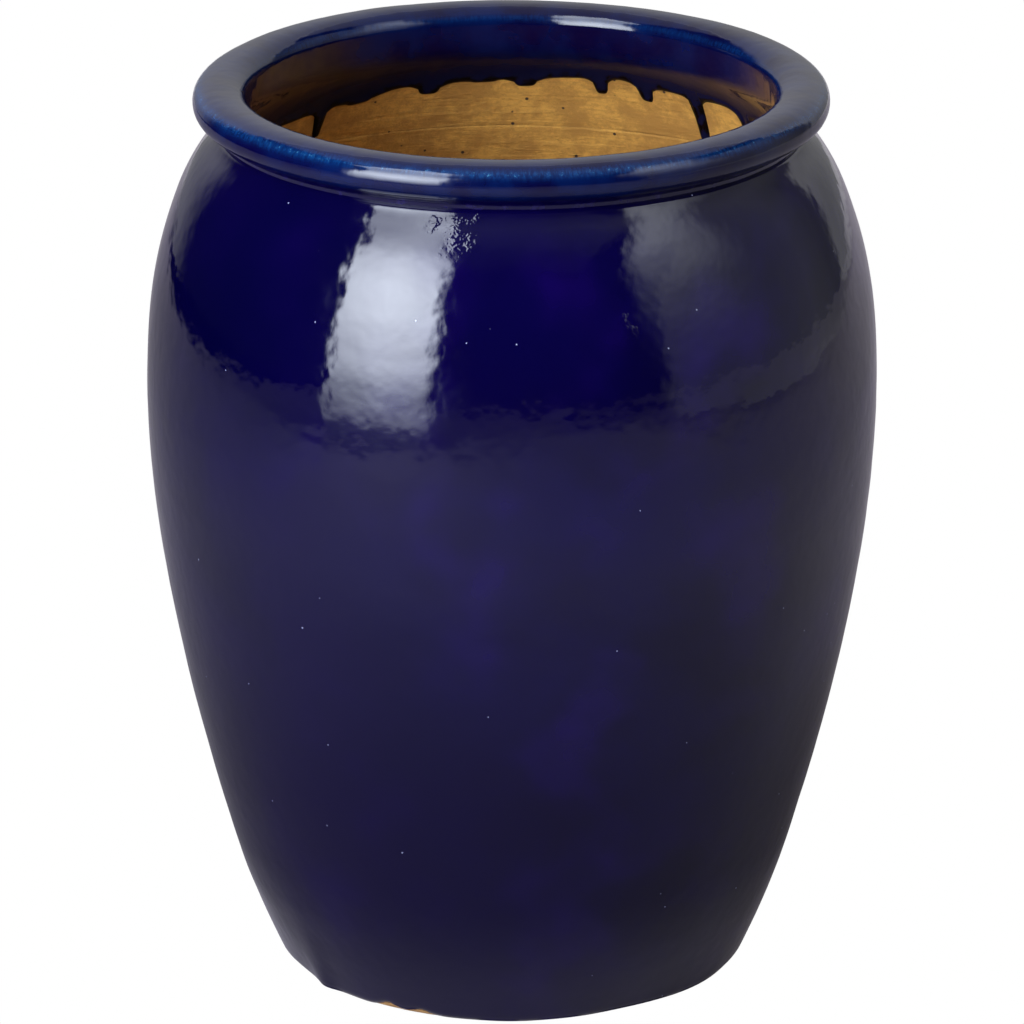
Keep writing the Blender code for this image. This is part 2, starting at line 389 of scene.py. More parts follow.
def glaze_edge_inside(azimuth):
    """Height of the glaze's lower edge inside the mouth, first plain and then with its runs."""
    places, heights = zip(*GLAZE_EDGE)
    turn = (np.degrees(azimuth) - places[0]) % 360 + places[0]
    edge = smooth(turn, places, heights)
    edge = edge + 0.0006 * lattice_noise(azimuth, 0.0, 60, 1.0, 52)
    random = np.random.default_rng(53)
    runs = list(GLAZE_RUNS)
    for slot in range(HIDDEN_RUNS):
        share = (slot + random.uniform(0.2, 0.8)) / HIDDEN_RUNS
        place = HIDDEN_FROM + (HIDDEN_TO - HIDDEN_FROM) * share
        length = 0.006 + 0.020 * random.uniform() ** 3
        runs.append((place, length, random.uniform(0.0045, 0.0075)))
    drop = 0.0
    for place, length, half_width in runs:
        across = np.abs(np.radians(degrees_from(azimuth, place))) * EDGE_RADIUS / half_width
        stem = length * np.sqrt(1 - np.clip(across, 0, 1) ** 4)
        flare = min(0.6 * length, 0.006) / (1 + (across / 1.35) ** 4)
        drop = drop + stem**4 + flare**4
    return edge, edge - drop**0.25


def distance_to_edge(azimuth, height, edge):
    """Shortest distance on the wall from each grid point to the glaze's edge, a chain of
    straight pieces from column to column. Only the nearest columns are searched."""
    nearest = np.full(height.shape, 1.0)
    for shift in range(-EDGE_SEARCH, EDGE_SEARCH):
        ahead = [np.roll(azimuth, -step) - azimuth for step in (shift, shift + 1)]
        start, end = [((turn + math.pi) % TAU - math.pi) * EDGE_RADIUS for turn in ahead]
        low, high = np.roll(edge, -shift), np.roll(edge, -shift - 1)
        along, up = end - start, high - low
        share = np.clip(((height - low) * up - start * along) / (along**2 + up**2), 0, 1)
        apart = np.hypot(start + share * along, height - low - share * up)
        nearest = np.minimum(nearest, apart)
    return nearest


def make_rim_coat(material):
    azimuth = rim_azimuths()
    plain_edge, edge = glaze_edge_inside(azimuth)
    lumps = 0.0002 * lattice_noise(azimuth, 0.0, 40, 1.0, 62)
    sway = 0.0004 * lattice_noise(azimuth, 0.0, 6, 1.0, 61)
    sway = sway + 0.0006 * bell(degrees_from(azimuth, 118), 24)

    # the path runs up the roll's outer side from the collar, over the top to the lip, down the
    # inside to the edge, and back behind
    angle = path(ROLL_START, ROLL_END, 42)
    calm = np.sin((angle - ROLL_START) / (ROLL_END - ROLL_START) * math.pi)
    ripple = calm * (lumps + 0.00005 * lattice_noise(azimuth, angle * 0.015, 150, 0.009, 63))
    roll_r, roll_z = roll_section(angle)
    roll_r = roll_r + ripple * np.cos(angle)
    roll_z = roll_z + ripple * np.sin(angle) + calm * sway
    # rows above the runs follow the plain edge, so the runs don't disturb them
    above = plain_edge + RUN_CLEARANCE
    upper_z = ROLL_MIDDLE + (above - ROLL_MIDDLE) * path(0, 1, 9)[1:]
    lower_z = above + (edge - above) * (1 - path(1, 0, 21)[1:] ** 1.5)
    skirt_z = np.concatenate([upper_z, lower_z])
    inwards = distance_to_edge(azimuth, skirt_z, edge)
    bulge = 0.0005 * bell(inwards - 0.0030, 0.0026)
    rounding = edge_rounding(inwards / EDGE_ROUNDING)
    skirt_r = inside_face(skirt_z) - COAT - bulge + rounding
    behind_z = ROLL_MIDDLE + (edge - ROLL_MIDDLE) * path(1, 0, 7)
    behind_r = inside_face(behind_z) + 0.0002
    back_angle = path(ROLL_END, ROLL_START, 12)[1:]
    back_r, back_z = roll_section(back_angle, -COAT)

    row = 0 * azimuth
    height = np.concatenate([roll_z, skirt_z, behind_z, back_z + row])
    radius = np.concatenate([roll_r, skirt_r, behind_r, back_r + row])
    radius = radius + hand_shape(azimuth, height)
    # how far each point is from the edge, where the glaze ran thin over the roll, and how far
    # along the path it is, for streaks that follow the flow of the glaze
    roll = slice(0, len(angle))
    skirt = slice(len(angle), len(angle) + len(skirt_z))
    from_edge = np.ones_like(height)
    from_edge[skirt] = inwards
    turn = np.degrees(angle)
    thin = np.zeros_like(height)
    thin[roll] = bell(turn - 38, 13) + 0.5 * bell(turn - 156, 9) + row
    flow = np.zeros_like(height)
    flow[roll] = angle * FLOW_RADIUS + row
    flow[skirt] = ROLL_END * FLOW_RADIUS + ROLL_MIDDLE - skirt_z
    attributes = [("from_edge", from_edge), ("thin_glaze", thin), ("flow", flow)]
    return ring_object("rim_glaze_coat", azimuth, radius, height, material, attributes)


def make_rim_core(material):
    """The clay of the roll and its collar, under the glaze."""
    azimuth = azimuths(HIDDEN_AROUND)
    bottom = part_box("rim_roll")[0].z
    roll_r, roll_z = roll_section(path(ROLL_START, ROLL_END, 30), -COAT - GAP)
    collar_z = path(bottom, roll_z[0, 0] - 0.001, 5)
    inside_z = path(ROLL_MIDDLE, bottom, 8)[1:]
    height = np.concatenate([collar_z, roll_z, inside_z]) + 0 * azimuth
    radius = np.concatenate([COLLAR_RADIUS + 0 * collar_z, roll_r, inside_face(inside_z)])
    return ring_object("rim_clay", azimuth, radius + hand_shape(azimuth, height), height, material)


# ---- bare clay ------------------------------------------------------------------------------
def clay_marks(azimuth, height):
    """Relief of the thrown clay: rings, shallow finger marks and the crease."""
    rings = 0.00022 * lattice_noise(azimuth, height, 3, 0.0065, 71)
    broad = 0.00050 * lattice_noise(azimuth, height, 6, 0.028, 72)
    (start, high), (end, low) = THROWING_CREASE
    crease_height = high + (low - high) * degrees_from(azimuth, start) / (end - start)
    below = height - crease_height
    crease = 0.0007 * bell(below, 0.0013) - 0.0005 * ease(below, -0.012, 0.0)
    return rings + broad + crease


def make_clay_wall(name, node, material, rows):
    """A wall section: fine on the inside, which shows, and plain behind the glaze."""
    low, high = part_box(node)
    low_z, high_z = low.z - GAP / 2, high.z + GAP / 2
    azimuth = azimuths(CLAY_AROUND)
    z_down = path(high_z, low_z, rows) + 0 * azimuth
    bare = 1 - ease(z_down - glaze_edge_inside(azimuth)[1], -0.003, 0.002)
    face = inside_face(z_down) + bare * clay_marks(azimuth, z_down)
    z_up = path(low_z, high_z, 12) + 0 * azimuth
    behind = smooth(z_up, WALL_HEIGHTS, WALL_OUTSIDE)
    height = np.concatenate([z_up, z_down])
    radius = np.concatenate([behind, face]) + hand_shape(azimuth, height)
    return ring_object(name, azimuth, radius, height, material)


def make_floor_clay(material):
    """The floor of the jar, with throwing rings round its drain hole."""
    heights, inner, outer = outline("base_slab")
    hole = inner.min()
    bottom, seat, top = heights[0], heights[-2], heights[-1]
    seat_r = inner[-1] - (top - seat)
    corners = [
        (outer[0], bottom), (outer[-1], top), (inner[-1], top),
        (seat_r, seat), (hole, seat), (hole, bottom),
    ]
    section = rounded_outline(corners, 0.0012, 0.0025)
    azimuth = azimuths(HIDDEN_AROUND)
    radius = section[:, :1] + 0 * azimuth
    height = section[:, 1:] + 0 * azimuth
    on_top = ease(height, top - 0.0004, top) * ease(radius, 0.027, 0.034)
    on_top = on_top * (1 - ease(radius, 0.148, 0.158))
    spiral = np.sin(TAU * radius / 0.011 + azimuth)
    uneven = lattice_noise(azimuth, radius, 9, 0.020, 81)
    height = height + on_top * (0.00025 * spiral + 0.00015 * uneven - 0.0002)
    return ring_object("floor_clay", azimuth, radius, height, material)


def make_foot_clay(material):
    """The ring of bare clay that the jar stands on."""
    heights, inner, outer = outline("foot_ring")
    corners = [
        (outer[0], heights[0]), (outer[1], heights[1]), (outer[-1], heights[-1]),
        (inner[-1], heights[-1]), (inner[2], heights[2]), (inner[0], heights[0]),
    ]
    section = rounded_outline(corners, 0.0015, 0.002)
    azimuth = azimuths(CLAY_AROUND)
    radius = section[:, :1] + 0 * azimuth
    height = section[:, 1:] + 0 * azimuth
    outside = ease(radius, 0.150, 0.160)
    rough = 0.0002 * lattice_noise(azimuth, height + radius, 160, 0.004, 91)
    radius = radius + outside * hand_shape(azimuth, height) + rough
    return ring_object("foot_clay_ring", azimuth, radius, height, material)


# ---- the drain plug -------------------------------------------------------------------------
def make_plug(material):
    """A moulded rubber stopper, turned from a rounded profile."""
    profile = [(0.0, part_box("drain_plug")[0].z)]
    for z, inside, outside in zip(*outline("drain_plug")):
        if outside - inside > 0.001:
            profile.append((inside, z))
        profile.append((outside, z))
    profile.append((0.0, profile[-1][1]))
    section = rounded_outline(profile[::-1], 0.0008, 0.002, closed=False)
    mesh = bpy.data.meshes.new("drain_stopper")
    edges = [(index, index + 1) for index in range(len(section) - 1)]
    mesh.from_pydata([(radius, 0.0, z) for radius, z in section], edges, [])
    piece = add_object("drain_stopper", mesh, material)
    screw = piece.modifiers.new("turn", "SCREW")
    screw.steps = screw.render_steps = 96
    screw.use_merge_vertices = True
    screw.merge_threshold = 0.00005
    screw.use_smooth_shade = True
    return piece


# ---- materials ------------------------------------------------------------------------------
class Nodes:
    """Short names for the shader nodes of one material."""

    def __init__(self, name):
        self.material = bpy.data.materials.new(name)
        self.material.use_nodes = True
        self.tree = self.material.node_tree
        self.shader = self.tree.nodes["Principled BSDF"]
        self.place = self.add("ShaderNodeTexCoord").outputs["Object"]

    def add(self, kind, **settings):
        node = self.tree.nodes.new(kind)
        for name, value in settings.items():
            setattr(node, name, value)
        return node

    def join(self, source, target):
        if isinstance(source, (int, float)):
            target.default_value = source
        elif isinstance(source, tuple):
            target.default_value = (*source, 1.0)
        else:
            self.tree.links.new(source, target)

    def noise(self, scale, detail=3.0, rough=0.5, place=None, distort=0.0):
        node = self.add("ShaderNodeTexNoise")
        self.join(place or self.place, node.inputs["Vector"])
        node.inputs["Scale"].default_value = scale
        node.inputs["Detail"].default_value = detail
        node.inputs["Roughness"].default_value = rough
        node.inputs["Distortion"].default_value = distort
        return node.outputs["Fac"]

    def along(self, direction):
        """How far along a direction the place is."""
        node = self.add("ShaderNodeVectorMath", operation="DOT_PRODUCT")
        self.join(self.place, node.inputs[0])
        node.inputs[1].default_value = direction
        return node.outputs["Value"]

    def stretched(self, x, y, z, shift=0.0):
        """The place with each axis scaled, and shifted so that patterns differ."""
        node = self.add("ShaderNodeMapping")
        self.join(self.place, node.inputs["Vector"])
        node.inputs["Location"].default_value = (shift, shift, shift)
        node.inputs["Scale"].default_value = (x, y, z)
        return node.outputs["Vector"]

    def math(self, operation, first, second=0.0):
        node = self.add("ShaderNodeMath", operation=operation)
        self.join(first, node.inputs[0])
        self.join(second, node.inputs[1])
        return node.outputs[0]

    def times(self, first, second):
        return self.math("MULTIPLY", first, second)

    def remap(self, value, low, high, to_low=0.0, to_high=1.0):
        node = self.add("ShaderNodeMapRange", interpolation_type="SMOOTHSTEP")
        self.join(value, node.inputs["Value"])
        node.inputs["From Min"].default_value = low
        node.inputs["From Max"].default_value = high
        node.inputs["To Min"].default_value = to_low
        node.inputs["To Max"].default_value = to_high
        return node.outputs["Result"]

    def mix(self, share, first, second):
        node = self.add("ShaderNodeMix", data_type="RGBA")
        self.join(share, node.inputs["Factor"])
        self.join(first, node.inputs["A"])
        self.join(second, node.inputs["B"])
        return node.outputs["Result"]

    def dots(self, scale, size, share):
        """1 in small round dots, on a share of scattered cells."""
        cells = self.add("ShaderNodeTexVoronoi")
        self.join(self.place, cells.inputs["Vector"])
        cells.inputs["Scale"].default_value = scale
        split = self.add("ShaderNodeSeparateColor")
        self.join(cells.outputs["Color"], split.inputs["Color"])
        chosen = self.math("LESS_THAN", split.outputs["Red"], share)
        return self.times(chosen, self.remap(cells.outputs["Distance"], size * 0.6, size, 1.0, 0.0))

    def attribute(self, name):
        return self.add("ShaderNodeAttribute", attribute_name=name).outputs["Fac"]

    def flowing(self):
        """A place round the jar, with the way along the glaze's flow squeezed, for streaks."""
        flat = self.add("ShaderNodeVectorMath", operation="MULTIPLY")
        self.join(self.place, flat.inputs[0])
        flat.inputs[1].default_value = (1, 1, 0)
        around = self.add("ShaderNodeVectorMath", operation="NORMALIZE")
        self.join(flat.outputs["Vector"], around.inputs[0])
        along = self.add("ShaderNodeCombineXYZ")
        self.join(self.times(self.attribute("flow"), 1.4), along.inputs["Z"])
        both = self.add("ShaderNodeVectorMath", operation="ADD")
        self.join(around.outputs["Vector"], both.inputs[0])
        self.join(along.outputs["Vector"], both.inputs[1])
        return both.outputs["Vector"]

    def bump(self, height, distance, below=None):
        node = self.add("ShaderNodeBump")
        node.inputs["Distance"].default_value = distance
        self.join(height, node.inputs["Height"])
        if below is not None:
            self.join(below, node.inputs["Normal"])
        return node.outputs["Normal"]

    def finish(self, colour, roughness, normal=None, ior=1.5):
        self.join(colour, self.shader.inputs["Base Color"])
        self.join(roughness, self.shader.inputs["Roughness"])
        self.shader.inputs["IOR"].default_value = ior
        if normal is not None:
            self.join(normal, self.shader.inputs["Normal"])
        return self.material


def glaze_relief(nodes):
    """Slow waves and faint orange peel in the glaze's surface."""
    waves = nodes.bump(nodes.noise(85.0, 1.0), 0.00026)
    return nodes.bump(nodes.noise(380.0, 2.0), 0.00002, waves)


def cobalt_with_painted_light(nodes):
    """Deep blue, turning violet in patches. Painted light: paler towards the right, where more
    light falls, with the violet patches only there, and darker on the left. Duller and darker
    towards the bottom.
    """
    place = nodes.add("ShaderNodeSeparateXYZ")
    nodes.join(nodes.place, place.inputs["Vector"])
    # painted light: the blue brightens from the jar's left to its right, as the light falls
    sway = nodes.remap(nodes.noise(5.0, 2.0), 0.3, 0.7, -0.05, 0.05)
    side = nodes.remap(nodes.math("ADD", place.outputs["X"], sway), -0.26, 0.20)
    deep = nodes.mix(side, (0.0004, 0.0002, 0.0150), (0.0022, 0.0007, 0.0400))
    slow = nodes.remap(nodes.noise(9.0, 4.0, 0.6), 0.35, 0.65)
    deep = nodes.mix(slow, deep, (0.0012, 0.0003, 0.0230))
    patch = nodes.remap(nodes.noise(13.0, 2.5, 0.5), 0.46, 0.78)
    colour = nodes.mix(nodes.times(patch, side), deep, (0.0070, 0.0009, 0.0720))
    low = nodes.remap(place.outputs["Z"], 0.10, 0.42, 0.30, 0.0)
    return nodes.mix(low, colour, (0.0034, 0.0006, 0.0105))


def puckers(nodes):
    """Crumpled relief in a few small patches."""
    ragged = nodes.remap(nodes.noise(75.0, 3.0, 0.65), 0.3, 0.7, -0.6, 0.6)
    patches = 0.0
    for azimuth, height, reach in GLAZE_SCARS:
        turn = math.radians(azimuth)
        radius = float(body_face(height))
        away = nodes.add("ShaderNodeVectorMath", operation="DISTANCE")
        nodes.join(nodes.place, away.inputs[0])
        away.inputs[1].default_value = (radius * math.cos(turn), radius * math.sin(turn), height)
        spread = nodes.math("ADD", away.outputs["Value"], nodes.times(ragged, reach))
        patch = nodes.remap(spread, 0.1 * reach, reach, 1.0, 0.0)
        patches = nodes.math("ADD", patch, patches)
    folds = nodes.noise(1.0, 1.5, 0.5, nodes.stretched(130.0, 130.0, 260.0), distort=0.8)
    return nodes.times(patches, folds)


def body_glaze():
    nodes = Nodes("cobalt_glaze_look")
    pinholes = nodes.dots(60.0, 0.040, 0.500)
    colour = nodes.mix(pinholes, cobalt_with_painted_light(nodes), (0.30, 0.32, 0.45))
    haze = nodes.remap(nodes.noise(9.0, 5.0, 0.65), 0.50, 0.75, 0.0, 0.10)
    fine = nodes.remap(nodes.noise(60.0, 3.0, 0.6), 0.3, 0.7, 0.045, 0.080)
    relief = nodes.bump(puckers(nodes), 0.00045, glaze_relief(nodes))
    return nodes.finish(colour, nodes.math("ADD", haze, fine), relief)


def bead_glaze():
    nodes = Nodes("bead_glaze_look")
    breaks = nodes.remap(nodes.noise(120.0, 4.0, 0.65), 0.50, 0.72)
    colour = nodes.mix(breaks, cobalt_with_painted_light(nodes), (0.0080, 0.0050, 0.0600))
    rough = nodes.remap(nodes.noise(90.0), 0.3, 0.7, 0.08, 0.16)
    return nodes.finish(colour, rough, glaze_relief(nodes))


def rim_glaze():
    """Blue that breaks to a paler, speckled blue where it ran thin over the roll."""
    nodes = Nodes("lip_glaze_look")
    cloud = nodes.remap(nodes.noise(26.0, 3.0, 0.6), 0.35, 0.65)
    deep = nodes.mix(cloud, (0.0012, 0.0008, 0.0220), (0.0008, 0.0050, 0.0440))
    fibres = nodes.remap(nodes.noise(95.0, 5.0, 0.75, nodes.flowing()), 0.36, 0.66)
    thin = nodes.times(nodes.attribute("thin_glaze"), nodes.remap(fibres, 0.0, 1.0, 0.25, 1.0))
    colour = nodes.mix(thin, deep, (0.0025, 0.0300, 0.1150))
    crystals = nodes.remap(nodes.noise(850.0, 4.0, 0.75), 0.58, 0.68)
    crystals = nodes.times(crystals, nodes.remap(thin, 0.50, 0.95))
    colour = nodes.mix(crystals, colour, (0.10, 0.33, 0.50))
    from_edge = nodes.attribute("from_edge")
    # greyer and duller near its lower edge, and brown where it thins out on the clay
    waver = nodes.remap(nodes.noise(110.0), 0.3, 0.7, -0.003, 0.003)
    ragged = nodes.math("ADD", from_edge, waver)
    inside = nodes.remap(ragged, 0.004, 0.030, 1.0, 0.0)
    colour = nodes.mix(inside, colour, (0.0060, 0.0065, 0.0280))
    brown = nodes.remap(ragged, 0.001, 0.005, 1.0, 0.0)
    colour = nodes.mix(brown, colour, (0.0050, 0.0028, 0.0025))
    dull = nodes.remap(from_edge, 0.004, 0.040, 1.0, 0.0)
    sheen = nodes.mix(dull, (1, 1, 1), (0.30, 0.40, 0.95))
    nodes.join(sheen, nodes.shader.inputs["Specular Tint"])
    level = nodes.remap(from_edge, 0.010, 0.042, 0.12, 0.5)
    nodes.join(level, nodes.shader.inputs["Specular IOR Level"])
    rough = nodes.remap(nodes.noise(60.0, 3.0, 0.6), 0.3, 0.7, 0.05, 0.12)
    return nodes.finish(colour, rough, glaze_relief(nodes), ior=1.46)


def clay_look(name, light, dark):
    """Thrown clay: level streaks and scratches, cloudy colour, pits darkened with painted shade,
    and coarse grains.
    """
    nodes = Nodes(name)
    rings = nodes.noise(1.0, 5.0, 0.6, nodes.stretched(16.0, 16.0, 420.0))
    scratches = nodes.noise(1.0, 3.0, 0.6, nodes.stretched(30.0, 30.0, 1500.0, 3.0))
    cloud = nodes.remap(nodes.noise(24.0, 6.0, 0.75), 0.40, 0.60)
    colour = nodes.mix(cloud, dark, light)
    mottle = nodes.noise(1.0, 4.0, 0.7, nodes.stretched(150.0, 150.0, 260.0))
    colour = nodes.mix(nodes.remap(mottle, 0.48, 0.62, 0.0, 0.55), colour, dark)
    colour = nodes.mix(nodes.remap(rings, 0.40, 0.75, 0.0, 0.45), colour, dark)
    colour = nodes.mix(nodes.remap(scratches, 0.60, 0.75, 0.0, 0.5), colour, light)
    # painted shade: the pits are darkened as well as sunk by the bump below
    shaded_pits = nodes.dots(110.0, 0.17, 0.20)
    colour = nodes.mix(shaded_pits, colour, (0.060, 0.030, 0.014))
    grains = nodes.noise(1300.0, 2.0, 0.7)
    crumbs = nodes.dots(150.0, 0.16, 0.14)
    relief = nodes.bump(mottle, 0.0014, nodes.bump(rings, 0.0008))
    relief = nodes.bump(scratches, 0.0005, relief)
    relief = nodes.bump(grains, 0.0003, relief)
    relief = nodes.bump(nodes.math("SUBTRACT", crumbs, shaded_pits), 0.0007, relief)
    return nodes.finish(colour, nodes.remap(grains, 0.2, 0.8, 0.75, 0.95), relief)


def rubber_look():
    nodes = Nodes("stopper_rubber_look")
    dust = nodes.remap(nodes.noise(90.0, 4.0, 0.7), 0.45, 0.75)
    colour = nodes.mix(dust, (0.014, 0.014, 0.015), (0.045, 0.042, 0.038))
    grain = nodes.noise(1500.0, 2.0, 0.6)
    rough = nodes.remap(dust, 0.0, 1.0, 0.48, 0.80)
    return nodes.finish(colour, rough, nodes.bump(grain, 0.00008))


# ---- studio ---------------------------------------------------------------------------------
def make_camera():
    elevation = math.radians(VIEW_ELEVATION)
    data = bpy.data.cameras.new("camera")
    data.lens = LENS
    data.sensor_width = 36
    data.clip_end = 60
    camera = bpy.data.objects.new("camera", data)
    camera.location = (
        0,
        -VIEW_DISTANCE * math.cos(elevation),
        TARGET_HEIGHT + VIEW_DISTANCE * math.sin(elevation),
    )
    camera.rotation_euler = (math.pi / 2 - elevation, 0, 0)
    bpy.context.scene.collection.objects.link(camera)
    bpy.context.scene.camera = camera


def ramp(tree, value, stops):
    """A smooth ramp of greys from (position, brightness) stops."""
    node = tree.nodes.new("ShaderNodeValToRGB")
    tree.links.new(value, node.inputs["Fac"])
    elements = node.color_ramp.elements
    while len(elements) < len(stops):
        elements.new(0.5)
    for element, (position, grey) in zip(elements, sorted(stops)):
        element.position = position
        element.color = (grey, grey, grey, 1)
    return node.outputs["Color"]


def light_math(tree, operation, first, second):
    node = tree.nodes.new("ShaderNodeMath")
    node.operation = operation
    for value, socket in zip((first, second), node.inputs):
        if isinstance(value, (int, float)):
            socket.default_value = value
        else:
            tree.links.new(value, socket)
    return node.outputs[0]


def soft_step(tree, value, start, width):
    """0 where value is below start, 1 above start + width, and a smooth step between."""
    node = tree.nodes.new("ShaderNodeMapRange")
    node.interpolation_type = "SMOOTHSTEP"
    tree.links.new(light_math(tree, "SUBTRACT", value, start), node.inputs["Value"])
    node.inputs["From Max"].default_value = width
    return node.outputs["Result"]


def soft_light(name, location, rotation, size, glow, left, right, fades, across, tint):
    """A rectangular soft light, unseen by the camera itself.

    glow is its radiance along its height, as (share of the height, radiance) pairs. left and
    right say where its sides are, as (share of the height, share of the width) pairs, and fades
    over how much of the width each side brightens. across darkens it along its width."""
    brightest = max(radiance for _, radiance in glow)
    data = bpy.data.lights.new(name, "AREA")
    data.shape = "RECTANGLE"
    data.size, data.size_y = size
    data.energy = brightest * size[0] * size[1] * math.pi
    data.color = tint
    data.use_nodes = True
    tree = data.node_tree
    split = tree.nodes.new("ShaderNodeSeparateXYZ")
    geometry = tree.nodes.new("ShaderNodeNewGeometry")
    tree.links.new(geometry.outputs["Parametric"], split.inputs["Vector"])
    x, y = split.outputs["X"], split.outputs["Y"]
    bright = ramp(tree, y, [(share, radiance / brightest) for share, radiance in glow])
    bright = light_math(tree, "MULTIPLY", bright, ramp(tree, x, across))
    from_left = soft_step(tree, x, ramp(tree, y, left), fades[0])
    back = light_math(tree, "SUBTRACT", ramp(tree, y, right), x)
    from_right = soft_step(tree, back, 0.0, fades[1])
    between = light_math(tree, "MULTIPLY", from_left, from_right)
    bright = light_math(tree, "MULTIPLY", bright, between)
    tree.links.new(bright, tree.nodes["Emission"].inputs["Color"])
    light = bpy.data.objects.new(name, data)
    light.location, light.rotation_euler = location, rotation
    light.visible_camera = False
    bpy.context.scene.collection.objects.link(light)


def upright_light(
    name, turn, distance, width, low, high, glow,
    left=None, right=None, fades=(0.05, 0.05), across=((0, 1), (1, 1)), tint=(1, 1, 1),
):
    """A soft light that faces the jar. turn is its place round the jar in degrees from the
    front, positive to the right. glow, left and right go by height above the ground, and left
    and right give degrees from the front."""
    def share(z):
        return (z - low) / (high - low)

    def sides(side, otherwise):
        if side is None:
            return [(0, otherwise), (1, otherwise)]
        turns = [(z, math.radians(at - turn)) for z, at in side]
        places = [(z, 0.5 + distance * math.tan(angle) / width) for z, angle in turns]
        return [(share(z), min(max(place, 0), 1)) for z, place in places]

    angle = math.radians(turn)
    location = (distance * math.sin(angle), -distance * math.cos(angle), (low + high) / 2)
    rotation = (math.pi / 2, 0, angle)
    size = (width, high - low)
    glow = [(share(z), radiance) for z, radiance in glow]
    left, right = sides(left, 0), sides(right, 1)
    soft_light(name, location, rotation, size, glow, left, right, fades, across, tint)


def seen_or_reflected(tree, seen, reflected, output):
    """What the camera sees directly, and what lights and reflections meet."""
    rays = tree.nodes.new("ShaderNodeLightPath")
    mix = tree.nodes.new("ShaderNodeMixShader")
    tree.links.new(rays.outputs["Is Camera Ray"], mix.inputs["Fac"])
    tree.links.new(reflected, mix.inputs[1])
    tree.links.new(seen, mix.inputs[2])
    tree.links.new(mix.outputs["Shader"], output)


def floor_painted_light(nodes, away):
    """How bright the floor is in reflections, by the distance from the jar's axis and the side:
    painted light and shade.
    """
    rings = [(distance / FLOOR_RADIUS, level) for distance, level in FLOOR_LIGHT_AND_SHADE_RINGS]
    bright = ramp(nodes.tree, nodes.math("DIVIDE", away, FLOOR_RADIUS), rings)
    # painted light and shade: brighter behind on the right, where the jar casts its shadow, dimmer
    # further out there, and dark at the far left
    back_right, right, left = (0.87, 0.5, 0.0), (0.98, -0.17, 0.0), (-0.906, 0.42, 0.0)
    bright = nodes.times(bright, nodes.remap(nodes.along(back_right), -0.4, 1.1, 1.0, 1.35))
    bright = nodes.times(bright, nodes.remap(nodes.along(right), 1.6, 3.0, 1.0, 0.40))
    return nodes.times(bright, nodes.remap(nodes.along(left), 2.6, 3.2, 1.0, 0.0))


def make_floor():
    """A white sweep: clear white to the camera but with a painted shadow under the jar, and grey in
    reflections, with painted light, shade and glow there.
    """
    nodes = Nodes("studio_floor_look")
    length = nodes.add("ShaderNodeVectorMath", operation="LENGTH")
    nodes.join(nodes.place, length.inputs[0])
    away = length.outputs["Value"]
    painted_floor_light = floor_painted_light(nodes, away)
    shade = nodes.add("ShaderNodeVectorMath", operation="SCALE")
    shade.inputs[0].default_value = FLOOR_TINT
    nodes.join(painted_floor_light, shade.inputs["Scale"])
    grey = nodes.add("ShaderNodeBsdfDiffuse")
    nodes.join(shade.outputs["Vector"], grey.inputs["Color"])
    # painted glow: the floor gives off light, so its shade shows lighter in reflections
    glow = nodes.add("ShaderNodeEmission")
    nodes.join(FLOOR_TINT, glow.inputs["Color"])
    nodes.join(nodes.times(painted_floor_light, FLOOR_PAINTED_GLOW), glow.inputs["Strength"])
    both = nodes.add("ShaderNodeAddShader")
    nodes.join(grey.outputs["BSDF"], both.inputs[0])
    nodes.join(glow.outputs["Emission"], both.inputs[1])
    white = nodes.add("ShaderNodeEmission")
    # painted shadow: the white fades to dark under the jar
    nodes.join(nodes.remap(away, 0.12, 0.15, 0.01, 1.0), white.inputs["Strength"])
    surface = nodes.tree.nodes["Material Output"].inputs["Surface"]
    seen_or_reflected(nodes.tree, white.outputs["Emission"], both.outputs["Shader"], surface)
    bpy.ops.mesh.primitive_circle_add(vertices=128, radius=FLOOR_RADIUS, fill_type="NGON")
    floor = bpy.context.active_object
    floor.name = "studio_floor"
    floor.data.materials.append(nodes.material)


def make_world():
    world = bpy.data.worlds.new("studio_world")
    world.use_nodes = True
    bpy.context.scene.world = world
    tree = world.node_tree
    white = tree.nodes.new("ShaderNodeBackground")
    white.inputs["Color"].default_value = (1, 1, 1, 1)
    dark = tree.nodes["Background"]
    dark.inputs["Color"].default_value = (0.9, 0.95, 1.0, 1)
    dark.inputs["Strength"].default_value = 0.01
    surface = tree.nodes["World Output"].inputs["Surface"]
    seen_or_reflected(tree, white.outputs["Background"], dark.outputs["Background"], surface)


